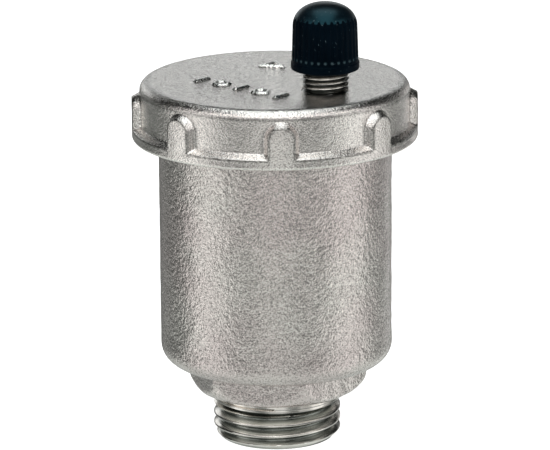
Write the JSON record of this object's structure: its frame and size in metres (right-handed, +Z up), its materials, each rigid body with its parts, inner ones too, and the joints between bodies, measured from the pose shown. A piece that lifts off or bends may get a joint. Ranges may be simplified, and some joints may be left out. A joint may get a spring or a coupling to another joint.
{
  "type": "automatic air vent",
  "caption": "Automatic air vent with a threaded inlet, a screwed cover with grip lugs, a capped side valve, and a float, lever and obturator inside.",
  "frame": {"origin": "on the body axis, at the end face of the inlet thread", "axes": "+Z up along the body axis from the inlet thread to the cover, +X from the body axis to the valve stem in the cover"},
  "size_m": [0.0466, 0.0466, 0.0745],
  "materials": {
    "body_metal": "blasted and nickel plated forging",
    "cover_metal": "blasted and nickel plated forging",
    "stem_metal": "machined and nickel plated",
    "stainless": "pressed sheet",
    "pin_steel": "ground",
    "spring_wire": "drawn wire",
    "float_plastic": "natural moulded",
    "cap_plastic": "satin moulded",
    "seal_rubber": "matt"
  },
  "bodies": {
    "body": {"body": "body_metal"},
    "cover_seal": {"cover_oring": "seal_rubber"},
    "cover": {"cover": "cover_metal", "vent_nipple": "stem_metal", "nipple_oring": "seal_rubber", "valve_cage": "stainless", "spring_retainer": "stainless", "obturator_spring": "spring_wire", "lever_pivot_pin": "pin_steel", "lever_pivot_clip": "spring_wire"},
    "cap_liner": {"vent_cap_seal": "seal_rubber"},
    "vent_cap": {"vent_cap": "cap_plastic"},
    "lever": {"lever": "stainless", "float_pin": "pin_steel", "float_pin_clip": "spring_wire"},
    "float": {"float_shell": "float_plastic", "float_base": "float_plastic", "float_yoke": "float_plastic"},
    "obturator": {"obturator_holder": "stem_metal", "obturator_seal": "seal_rubber", "obturator_pin": "pin_steel"}
  },
  "joints": [
    {"name": "cover_lift", "type": "slide", "parent": "body", "child": "cover_seal", "axis": [0, 0, 1], "range_m": [0, 0.0068]},
    {"name": "cover_turn", "type": "hinge", "parent": "cover_seal", "child": "cover", "pos_m": [0, 0, 0.054], "axis": [0, 0, 1], "range_deg": [0, 1620]},
    {"name": "cap_lift", "type": "slide", "parent": "cover", "child": "cap_liner", "axis": [0, 0, 1], "range_m": [-0.00293, 0.0052]},
    {"name": "cap_turn", "type": "hinge", "parent": "cap_liner", "child": "vent_cap", "pos_m": [0.011, 0, 0.0688], "axis": [0, 0, 1], "range_deg": [-1325, 2345]},
    {"name": "lever_swing", "type": "hinge", "parent": "cover", "child": "lever", "pos_m": [0.0142, 0, 0.0516], "axis": [0, 1, 0], "range_deg": [0, 8.4]},
    {"name": "float_hang", "type": "hinge", "parent": "lever", "child": "float", "pos_m": [0, 0, 0.0516], "axis": [0, 1, 0], "range_deg": [-8.6, 0.2]},
    {"name": "obturator_slide", "type": "slide", "parent": "cover", "child": "obturator", "axis": [0, 0, 1], "range_m": [0, 0.00048], "deforming": ["obturator_spring"]}
  ],
  "couplings": [
    {"joint": "cover_lift", "follows": "cover_turn", "m_per_rad": 0.00023873},
    {"joint": "cap_turn", "follows": "cap_lift", "rad_per_m": 7854},
    {"joint": "float_hang", "follows": "lever_swing", "ratio": -1},
    {"joint": "obturator_slide", "follows": "lever_swing", "m_per_rad": 0.0032}
  ]
}
